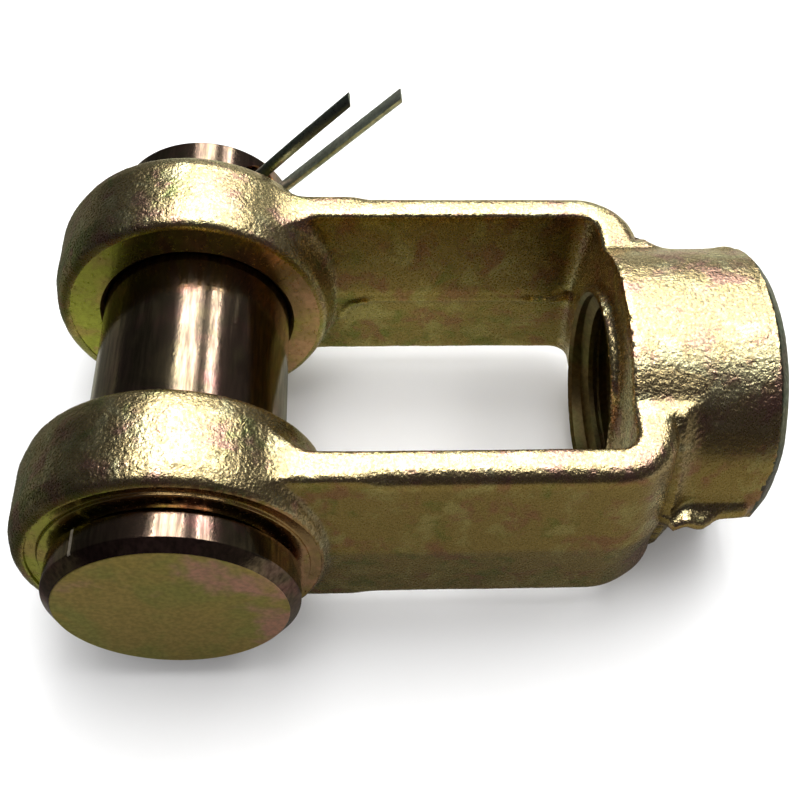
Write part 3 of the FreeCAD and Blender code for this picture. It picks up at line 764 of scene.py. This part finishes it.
@dataclass
class ForgedYoke:
    """The fork: a grit-blasted forging with drilled ears and a threaded shank, sizes in mm."""

    ear_inside: float = 7.05
    ear_outside: float = 14.33
    hole_radius: float = 7.08
    hole_bevel: float = 0.35
    hub_radius: float = 8.85
    face_radius: float = 9.62
    face_drop: float = 0.22
    inner_skim: float = 0.06
    thread_radius: float = 7.0
    thread_inside: float = 6.188
    thread_pitch: float = 1.5
    thread_margin: float = 0.35
    mouth_radius: float = 7.3
    slot_end: float = 29.24
    shank_end: float = 40.9
    bevel_length: float = 1.25
    voxel: float = 0.27
    skin_depth: float = 0.065
    pebble_scale: float = 1.1
    swell_scale: float = 0.22
    body: str = "yoke"

    def blank(self) -> bpy.types.Object:
        """Copy the frame's fork, stop up its holes and mesh it evenly.

        Returns:
            The forging before it is drilled.
        """
        form = bmesh.new()
        form.from_mesh(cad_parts["yoke"].data)
        bmesh.ops.remove_doubles(form, verts=form.verts, dist=1e-7)
        plug = self.hole_radius + self.hole_bevel + 0.2
        mouth = self.mouth_radius + 0.2
        near, far, start, end = self.ear_inside, self.ear_outside, self.slot_end, self.shank_end
        plugs = (([(0, near), (plug, near), (plug, far), (0, far)], Axis.PIN),
                 ([(0, -far), (plug, -far), (plug, -near), (0, -near)], Axis.PIN),
                 ([(0, start), (mouth, start), (mouth, end), (0, end)], Axis.SHANK))
        for outline, axis in plugs:
            mesh = lathe(outline, axis, 96)
            form.from_mesh(mesh)
            bpy.data.meshes.remove(mesh)
        mesh = bpy.data.meshes.new("fork_blank")
        form.to_mesh(mesh)
        form.free()
        item = link("fork_forging", mesh)
        remesh = item.modifiers.new("even", "REMESH")
        remesh.mode = "VOXEL"
        remesh.voxel_size = self.voxel * MM
        soften = item.modifiers.new("soften", "SMOOTH")
        soften.factor = 0.5
        soften.iterations = 3
        flatten(item)
        return item

    @staticmethod
    def sculpt(item: bpy.types.Object) -> None:
        """Move the skin where the forging differs from plain geometry.

        Args:
            item: the forging.
        """
        flat = np.empty(len(item.data.vertices) * 3)
        item.data.vertices.foreach_get("co", flat)
        place = flat.reshape(-1, 3) / MM
        place = place + sum(mark.push(place) for mark in FORGE_MARKS)
        item.data.vertices.foreach_set("co", (place * MM).ravel())
        item.data.update()

    @staticmethod
    def skin_tree() -> bpy.types.NodeTree:
        """Build the geometry tree that gives the forging its pebbled skin.

        Returns:
            A tree with named inputs for the depth and the size of the pebbles.
        """
        tree = bpy.data.node_groups.new("pebbled_skin", "GeometryNodeTree")
        group_sockets(tree, {
            "Geometry": ("NodeSocketGeometry", None), "Depth": ("NodeSocketFloat", 0.05),
            "Pebble Scale": ("NodeSocketFloat", 1.0), "Swell Scale": ("NodeSocketFloat", 0.2),
            "Seed": ("NodeSocketFloat", 3.0), "Finish": ("NodeSocketMaterial", None),
        }, {"Geometry": "NodeSocketGeometry"})
        make = Nodes(tree)
        given = make.add("NodeGroupInput").outputs
        place = make.scaled(make.add("GeometryNodeInputPosition").outputs[0], 1 / MM)
        levels = []
        for scale, weight in ((given["Pebble Scale"], 1.0), (given["Swell Scale"], 2.2)):
            texture = make.add("ShaderNodeTexNoise", noise_dimensions="4D")
            make.put(texture, {"Vector": place, "W": given["Seed"], "Scale": scale, "Detail": 1.0})
            above = make.math("SUBTRACT", texture.outputs[0], 0.5)
            levels.append(make.math("MULTIPLY", above, weight))
        normal = make.add("GeometryNodeInputNormal").outputs[0]
        along_pin = make.math("ABSOLUTE", make.parts(normal)["Y"])
        amount = make.math("MULTIPLY", make.math("ADD", *levels), given["Depth"])
        amount = make.math("MULTIPLY", amount, make.ramp(along_pin, 0.7, 0.95, 1.0, 0.4))
        offset = make.scaled(normal, make.math("MULTIPLY", amount, MM))
        moved = make.add("GeometryNodeSetPosition", {
            "Geometry": given["Geometry"], "Offset": offset})
        finish_tree(make, moved.outputs[0], given["Finish"])
        return tree

    def drill(self, item: bpy.types.Object) -> None:
        """Cut the pin holes, the machined ear faces and the hole for the thread.

        Args:
            item: the forging.
        """
        hole, bevel = self.hole_radius, self.hole_bevel
        wide, far = hole + bevel, self.ear_outside + 3
        half = [(wide, self.ear_inside), (hole, self.ear_inside + bevel),
                (hole, self.ear_outside - bevel), (wide, self.ear_outside), (wide, far)]
        outline = [(0, -far)] + [(r, -a) for r, a in reversed(half)] + half + [(0, far)]
        cut(item, lathe(outline, Axis.PIN, 144))
        base, skim = self.ear_outside - self.face_drop, self.ear_inside + self.inner_skim
        face = rounded([(0, self.ear_outside), (self.hub_radius, self.ear_outside),
                        (self.hub_radius, base), (self.face_radius, base),
                        (self.face_radius + 0.5, far), (0, far)], {1: 0.1, 2: 0.1, 3: 0.08}, 4)
        inner = [(0, self.ear_inside - 2), (self.face_radius + 0.35, self.ear_inside - 2),
                 (self.face_radius - 0.05, skim), (0, skim)]
        for side in (-1, 1):
            for outline in (face, inner):
                cut(item, lathe([(r, side * a) for r, a in outline], Axis.PIN, 144))
        sink = self.mouth_radius - self.thread_radius
        start, end, mouth = self.slot_end, self.shank_end, self.mouth_radius
        bore = [(0, start - 2), (mouth, start - 2), (mouth, start),
                (self.thread_radius, start + sink), (self.thread_radius, end - sink),
                (mouth, end), (mouth, end + 2), (0, end + 2)]
        cut(item, lathe(bore, Axis.SHANK, 120))

    @staticmethod
    def thread_tree() -> bpy.types.NodeTree:
        """Build the geometry tree of the thread's turns.

        Returns:
            A tree that sweeps the thread's ridge along a helix, with its sizes as named inputs.
        """
        tree = bpy.data.node_groups.new("thread_turns", "GeometryNodeTree")
        sizes = {"Pitch": 1.5, "Outside Radius": 7.0, "Inside Radius": 6.188, "Length": 10.0,
                 "Start": 30.0}
        group_sockets(tree, {
            "Geometry": ("NodeSocketGeometry", None),
            **{name: ("NodeSocketFloat", value) for name, value in sizes.items()},
            "Finish": ("NodeSocketMaterial", None)}, {"Geometry": "NodeSocketGeometry"})
        make = Nodes(tree)
        given = make.add("NodeGroupInput").outputs
        radius = make.math("MULTIPLY", given["Outside Radius"], MM)
        spiral = make.add("GeometryNodeCurveSpiral", {
            "Resolution": 72, "Rotations": make.math("DIVIDE", given["Length"], given["Pitch"]),
            "Start Radius": radius, "End Radius": radius,
            "Height": make.math("MULTIPLY", given["Length"], MM)})
        share = make.add("GeometryNodeSplineParameter").outputs["Factor"]
        fade = make.math("MULTIPLY", make.ramp(share, 0.0, 0.05), make.ramp(share, 1.0, 0.95))
        tapered = make.add("GeometryNodeSetCurveRadius", {
            "Curve": spiral.outputs[0], "Radius": make.math("MAXIMUM", fade, 0.02)})
        upright = make.add("GeometryNodeSetCurveNormal", {"Curve": tapered.outputs[0]}, mode="Z_UP")
        depth = make.math("SUBTRACT", given["Outside Radius"], given["Inside Radius"])
        profile = make.add("GeometryNodeCurvePrimitiveQuadrilateral", mode="POINTS")
        corners = ((0.46, -0.06), (0.125, 1.0), (-0.125, 1.0), (-0.46, -0.06))
        for number, (along, rise) in enumerate(corners, 1):
            spot = make.add("ShaderNodeCombineXYZ", {
                "X": make.math("MULTIPLY", depth, rise * MM),
                "Y": make.math("MULTIPLY", given["Pitch"], along * MM)})
            make.put(profile, {f"Point {number}": spot.outputs[0]})
        ridge = make.add("GeometryNodeCurveToMesh", {
            "Curve": upright.outputs[0], "Profile Curve": profile.outputs[0],
            "Scale": make.add("GeometryNodeInputRadius").outputs[0], "Fill Caps": True})
        start = make.add("ShaderNodeCombineXYZ", {"X": make.math("MULTIPLY", given["Start"], MM)})
        laid = make.add("GeometryNodeTransform", {
            "Geometry": ridge.outputs[0], "Rotation": (0.0, math.pi / 2, 0.0),
            "Translation": start.outputs[0]})
        finish_tree(make, laid.outputs[0], given["Finish"])
        return tree

    def pick(self, centre: np.ndarray, normal: np.ndarray) -> np.ndarray:
        """Choose the fork's finish: 0 forged, 1 machined, 2 bored with painted shade, 3 the shank's
        end bevel in painted shade.

        Args:
            centre: the faces' centres in mm.
            normal: their normals.

        Returns:
            The number of each face's finish.
        """
        from_pin = np.hypot(centre[:, 0], centre[:, 2])
        from_shank = np.hypot(centre[:, 1], centre[:, 2])
        across = np.abs(centre[:, 1])
        flat = (np.abs(normal[:, 1]) > 0.999) & (from_pin < self.face_radius + 0.02)
        hub = across > self.ear_outside - self.face_drop - 0.05
        hub &= from_pin < self.face_radius + 0.1
        round_pin = (from_pin < self.hole_radius + self.hole_bevel + 0.05) & (across < 15)
        round_shank = (from_shank < self.mouth_radius + 0.02) & (centre[:, 0] > self.slot_end - 0.1)
        bevel = (centre[:, 0] > self.shank_end - self.bevel_length)
        bevel &= (from_shank > self.mouth_radius + 0.3)
        bevel &= (normal[:, 0] > 0.25) & (normal[:, 0] < 0.95)
        return np.select([bevel, round_pin | round_shank, flat | hub], [3, 2, 1], 0)

    def thread(self, finish: bpy.types.Material) -> bpy.types.Object:
        """Make the thread's turns.

        Args:
            finish: their finish.

        Returns:
            The turns.
        """
        item = link("thread_turns", bpy.data.meshes.new("thread_turns"))
        run_tree(item, self.thread_tree(), {
            "Pitch": self.thread_pitch, "Outside Radius": self.thread_radius,
            "Inside Radius": self.thread_inside, "Start": self.slot_end + self.thread_margin,
            "Length": self.shank_end - self.slot_end - 2 * self.thread_margin, "Finish": finish})
        form = bmesh.new()
        form.from_mesh(item.data)
        bmesh.ops.recalc_face_normals(form, faces=form.faces)
        form.to_mesh(item.data)
        form.free()
        shade(item, 30)
        return item

    def build(self, finishes: Materials) -> list[bpy.types.Object]:
        """Make the fork and its thread.

        Args:
            finishes: the materials.

        Returns:
            The fork and the thread's turns.
        """
        fork = self.blank()
        self.sculpt(fork)
        run_tree(fork, self.skin_tree(), {
            "Depth": self.skin_depth, "Pebble Scale": self.pebble_scale,
            "Swell Scale": self.swell_scale, "Seed": 3.0, "Finish": finishes[Finish.FORGED]})
        self.drill(fork)
        order = (Finish.FORGED, Finish.MACHINED, Finish.BORED_AND_SHADED, Finish.END_BEVEL_SHADED)
        paint(fork, [finishes[finish] for finish in order], self.pick)
        shade(fork, 38)
        thread = self.thread(finishes[Finish.BORED_AND_SHADED])
        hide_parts("yoke")
        for item in (fork, thread):
            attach(item, self.body)
        return [fork, thread]


# The clevis pin


@dataclass
class ClevisPin:
    """The turned pin with its head and its cross hole, sizes in mm and angles in degrees."""

    radius: float = 7.0
    head_radius: float = 8.3
    head_front: float = -17.58
    head_back: float = -14.88
    end: float = 20.02
    head_bevel: float = 0.75
    back_bevel: float = 0.25
    end_bevel: float = 0.7
    cross_place: float = 16.43
    cross_radius: float = 2.0
    cross_bevel: float = 0.18
    cross_angle: float = 45.0
    scratch_turn: float = 130.3
    scratch_half_width: float = 0.95
    body: str = "clevis_pin"

    def turned(self) -> bpy.types.Object:
        """Turn the pin and drill its cross hole.

        Returns:
            The pin.
        """
        corners = [(0, self.head_front), (self.head_radius - self.head_bevel, self.head_front),
                   (self.head_radius, self.head_front + self.head_bevel),
                   (self.head_radius, self.head_back - self.back_bevel),
                   (self.head_radius - self.back_bevel, self.head_back),
                   (self.radius, self.head_back), (self.radius, self.end - self.end_bevel),
                   (self.radius - self.end_bevel, self.end), (0, self.end)]
        outline = rounded(corners, {1: 0.12, 2: 0.25, 3: 0.12, 4: 0.1, 5: 0.2, 6: 0.2, 7: 0.12}, 5)
        pin = link("turned_pin", lathe(outline, Axis.PIN, 192))
        wide, reach = self.cross_radius + self.cross_bevel, self.radius + 0.12
        inner, far = reach - 0.35, self.radius + 5
        drill = lathe([(0, -far), (wide, -far), (wide, -reach), (self.cross_radius, -inner),
                       (self.cross_radius, inner), (wide, reach), (wide, far), (0, far)],
                      Axis.SHANK, 64)
        drill.transform(Matrix.Translation((0, self.cross_place * MM, 0))
                        @ Matrix.Rotation(-math.radians(self.cross_angle), 4, "Y"))
        cut(pin, drill)
        return pin

    def pick(self, centre: np.ndarray, normal: np.ndarray) -> np.ndarray:
        """Choose the pin's finish: 0 turned, 1 the head's flat, 2 the scratch across its rim.

        Args:
            centre: the faces' centres in mm.
            normal: their normals, not used.

        Returns:
            The number of each face's finish.
        """
        along = centre[:, 1]
        turn = np.degrees(np.arctan2(centre[:, 2], centre[:, 0]))
        rim = (along > self.head_front + self.head_bevel * 0.7) & (along < self.head_back)
        scratch = rim & (np.abs(turn - self.scratch_turn) < self.scratch_half_width)
        return np.select([scratch, along < self.head_front + 0.03], [2, 1], 0)

    def build(self, finishes: Materials) -> bpy.types.Object:
        """Make the pin.

        Args:
            finishes: the materials.

        Returns:
            The pin.
        """
        pin = self.turned()
        order = (Finish.TURNED, Finish.FACED, Finish.WORN)
        paint(pin, [finishes[finish] for finish in order], self.pick)
        shade(pin, 40)
        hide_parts("clevis_pin")
        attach(pin, self.body)
        return pin


# The split pin


@dataclass
class SplitPin:
    """The bent half-round wire, sizes in mm; its legs run along the cross hole."""

    wire: float = 0.62
    gap: float = 1.85
    long_leg: float = 20.95
    short_leg: float = 18.2
    eye_radius: float = 1.9
    neck_radius: float = 1.2
    standoff: float = 0.65
    pin_radius: float = 7.0
    place: float = 16.43
    angle: float = 45.0
    tip_slant: float = 0.4
    spread: float = 0.16
    dip: float = 0.1
    body: str = "split_pin"

    @staticmethod
    def arc(hub: Pair, radius: float, turns: np.ndarray, side: int) -> list[tuple[Vector, Vector]]:
        """Lay points round a hub.

        Args:
            hub: the hub.
            radius: the arc's radius.
            turns: the points' angles in degrees.
            side: 1 where the wire's round side looks away from the hub, else -1.

        Returns:
            Points with their outward sides.
        """
        arms = [Vector((math.cos(turn), math.sin(turn))) for turn in map(math.radians, turns)]
        return [(Vector(hub) + arm * radius, arm * side) for arm in arms]

    def path(self) -> list[tuple[Vector, Vector]]:
        """Lay the wire's inner line, from the long leg's tip to the short leg's.

        Returns:
            Points with their outward sides.
        """
        half = self.gap / 2
        start = -(self.pin_radius + self.standoff)
        reach = self.eye_radius + self.neck_radius
        hub_height = half + self.neck_radius
        hub = start - math.sqrt(reach ** 2 - hub_height ** 2)
        angle = math.degrees(math.asin(hub_height / reach))
        line = [(Vector((self.long_leg + (start - self.long_leg) * share, -half)), Vector((0, -1)))
                for share in np.linspace(0, 1, 24)]
        line += self.arc((start, -hub_height), self.neck_radius,
                         np.linspace(90, 180 - angle, 10)[1:], -1)
        line += self.arc((hub, 0), self.eye_radius, np.linspace(-angle, angle - 360, 49)[1:], 1)
        line += self.arc((start, hub_height), self.neck_radius,
                         np.linspace(180 + angle, 270, 10)[1:], -1)
        for share in np.linspace(0, 1, 24)[1:]:
            along = start + (self.short_leg - start) * share
            past = along - self.pin_radius
            lean = self.spread * max(0.0, past / (self.short_leg - self.pin_radius)) ** 1.2
            dip = -self.dip * math.exp(-(past / 4.0) ** 2)
            line.append((Vector((along, half + lean + dip)), Vector((0, 1))))
        return line

    def swept(self) -> bpy.types.Object:
        """Sweep the half-round wire along its line and slant its tips.

        Returns:
            The wire.
        """
        section = [(-1.0, 0.05), (-0.94, 0.0), (0.94, 0.0), (1.0, 0.05)]
        section += [(math.cos(math.radians(turn)), math.sin(math.radians(turn)))
                    for turn in range(12, 180, 12)]
        form = bmesh.new()
        points = self.path()
        last = len(points) - 1
        rings = []
        for number, (spot, out) in enumerate(points):
            ring = []
            for across, rise in section:
                slant = {0: rise, last: 1 - rise}.get(number, 0.0) * self.tip_slant
                place = spot + out * rise * self.wire
                corner = Vector((place.x - slant, across * self.wire, place.y))
                ring.append(form.verts.new(corner * MM))
            rings.append(ring)
        for ring, follower in zip(rings, rings[1:]):
            for side in range(len(section)):
                near = (side + 1) % len(section)
                form.faces.new((ring[side], ring[near], follower[near], follower[side]))
        form.faces.new(rings[0])
        form.faces.new(rings[-1])
        mesh = closed(form, "bent_wire")
        mesh.transform(Matrix.Translation((0, self.place * MM, 0))
                       @ Matrix.Rotation(-math.radians(self.angle), 4, "Y"))
        return link("bent_wire", mesh)

    def pick(self, centre: np.ndarray, normal: np.ndarray) -> np.ndarray:
        """Choose the wire's finish: 1, the painted shade, on the short leg above the middle, and 0
        elsewhere.

        Args:
            centre: the faces' centres in mm.
            normal: their normals, not used.

        Returns:
            The number of each face's finish.
        """
        turn = math.radians(self.angle)
        above = centre[:, 2] * math.cos(turn) - centre[:, 0] * math.sin(turn)
        along = centre[:, 0] * math.cos(turn) + centre[:, 2] * math.sin(turn)
        return (above > self.gap * 0.35) & (along > 0)

    def build(self, finishes: Materials) -> bpy.types.Object:
        """Make the split pin.

        Args:
            finishes: the materials.

        Returns:
            The split pin.
        """
        wire = self.swept()
        paint(wire, [finishes[Finish.DRAWN], finishes[Finish.SHADED_WIRE]], self.pick)
        shade(wire, 40)
        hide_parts("split_pin")
        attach(wire, self.body)
        return wire


# The studio


@dataclass
class Studio:
    """Camera, lamps and floor; places in mm, angles in radians."""

    eye: Triple = (11.101, -50.460, 66.622)
    turn: float = -0.084
    rise: float = 0.929
    roll: float = 0.059
    lens: float = 36 * 1130.8 / 800
    floor_height: float = -10.56
    floor_size: float = 600.0
    floor_colour: Triple = (0.82, 0.82, 0.82)
    mirrored_front: Triple = (0.15, 0.14, 0.125)
    mirrored_rear: Triple = (0.32, 0.32, 0.26)
    front_gloom: Triple = (0.033, 0.027, 0.032)
    rear_gloom: Triple = (0.070, 0.070, 0.068)
    strip_near: float = -87.0
    strip_far: float = 700.0
    strip_height: float = 350.0
    strip_glow: float = 5.6
    fill_size: float = 1800.0
    fill_height: float = 450.0
    fill_glow: float = 1.05

    def camera(self) -> None:
        """Set the camera at the photo's viewing angle."""
        back = Vector((math.sin(self.turn) * math.cos(self.rise),
                       -math.cos(self.turn) * math.cos(self.rise), math.sin(self.rise)))
        right = Vector((math.cos(self.turn), math.sin(self.turn), 0.0))
        up = back.cross(right)
        level = right * math.cos(self.roll) + up * math.sin(self.roll)
        upright = up * math.cos(self.roll) - right * math.sin(self.roll)
        pose = Matrix((level, upright, back)).transposed().to_4x4()
        pose.translation = Vector(self.eye) * MM
        lens = bpy.data.cameras.new("camera")
        lens.lens = self.lens
        lens.clip_start = 0.001
        camera = bpy.data.objects.new("camera", lens)
        camera.matrix_world = pose
        bpy.context.scene.collection.objects.link(camera)
        bpy.context.scene.camera = camera
        bpy.context.scene.view_settings.view_transform = "Standard"

    def floor(self) -> None:
        """Lay the pale floor, which the metal mirrors as duller than it is."""
        size, height = self.floor_size * MM, self.floor_height * MM
        mesh = bpy.data.meshes.new("floor")
        mesh.from_pydata([(-size, -size, height), (size, -size, height), (size, size, height),
                          (-size, size, height)], [], [(0, 1, 2, 3)])
        floor = link("floor", mesh)
        material = bpy.data.materials.new("floor_paper")
        material.use_nodes = True
        material.node_tree.nodes.clear()
        make = Nodes(material.node_tree)
        mirrored = make.add("ShaderNodeLightPath").outputs["Is Glossy Ray"]
        spot = make.parts(make.add("ShaderNodeTexCoord").outputs["Object"])
        behind = make.ramp(spot["Y"], -0.010, 0.005)
        close = make.ramp(spot["X"], -0.020, -0.012, 0.2, 1.0)
        dull = make.blend(behind, self.mirrored_front, self.mirrored_rear)
        dull = make.blend(1.0, dull, close, "MULTIPLY")
        shader = make.add("ShaderNodeBsdfPrincipled", {
            "Base Color": make.blend(mirrored, self.floor_colour, dull), "Roughness": 0.9,
            "Specular IOR Level": 0.0})
        make.add("ShaderNodeOutputMaterial", {"Surface": shader.outputs["BSDF"]})
        floor.data.materials.append(material)

    @staticmethod
    def lamp(name: str, place: Triple, sides: Pair, glow: float, mirrored: bool = True) -> None:
        """Hang a flat soft lamp that looks down.

        Args:
            name: the lamp's name.
            place: its middle.
            sides: its sizes along X and Y.
            glow: the brightness of its face.
            mirrored: whether metal mirrors it.
        """
        lamp = bpy.data.lights.new(name, "AREA")
        lamp.shape = "RECTANGLE"
        lamp.size, lamp.size_y = sides[0] * MM, sides[1] * MM
        lamp.energy = glow * math.pi * lamp.size * lamp.size_y
        item = bpy.data.objects.new(name, lamp)
        item.location = Vector(place) * MM
        item.visible_glossy = mirrored
        bpy.context.scene.collection.objects.link(item)

    def light(self) -> None:
        """Hang two strips and a fill for the floor in a dim room with a white background."""
        world = bpy.data.worlds.new("studio")
        bpy.context.scene.world = world
        world.use_nodes = True
        world.node_tree.nodes.clear()
        make = Nodes(world.node_tree)
        way = make.parts(make.add("ShaderNodeTexCoord").outputs["Generated"])
        dim = make.blend(make.ramp(way["Y"], -0.5, 0.3), self.front_gloom, self.rear_gloom)
        dim = make.blend(1.0, dim, make.ramp(way["X"], -0.8, -0.2, 0.4, 1.0), "MULTIPLY")
        seen = make.add("ShaderNodeLightPath").outputs["Is Camera Ray"]
        colour = make.blend(seen, dim, WHITE)
        sky = make.add("ShaderNodeBackground", {"Color": colour, "Strength": 1.0})
        make.add("ShaderNodeOutputWorld", {"Surface": sky.outputs[0]})
        middle, length = (self.strip_near + self.strip_far) / 2, self.strip_far - self.strip_near
        for name, across, width in (("left_strip", -2.0, 160.0), ("right_strip", 206.0, 94.0)):
            self.lamp(name, (across, middle, self.strip_height), (width, length), self.strip_glow)
        self.lamp("floor_fill", (0.0, 0.0, self.fill_height), (self.fill_size, self.fill_size),
                  self.fill_glow, mirrored=False)


def main() -> None:
    """Build and dress the pieces in order and report each one."""
    logging.basicConfig(level=logging.INFO, format="%(message)s")
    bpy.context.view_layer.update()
    tints, grit = tint_group(), grit_group()
    finishes = {plating.finish: plating.material(tints, grit) for plating in PLATINGS}
    pieces = ForgedYoke().build(finishes)
    pieces.append(ClevisPin().build(finishes))
    pieces.append(SplitPin().build(finishes))
    for piece in pieces:
        LOG.info("%s: %d faces", piece.name, len(piece.data.polygons))
    studio = Studio()
    studio.camera()
    studio.floor()
    studio.light()


if __name__ == "__main__":
    main()
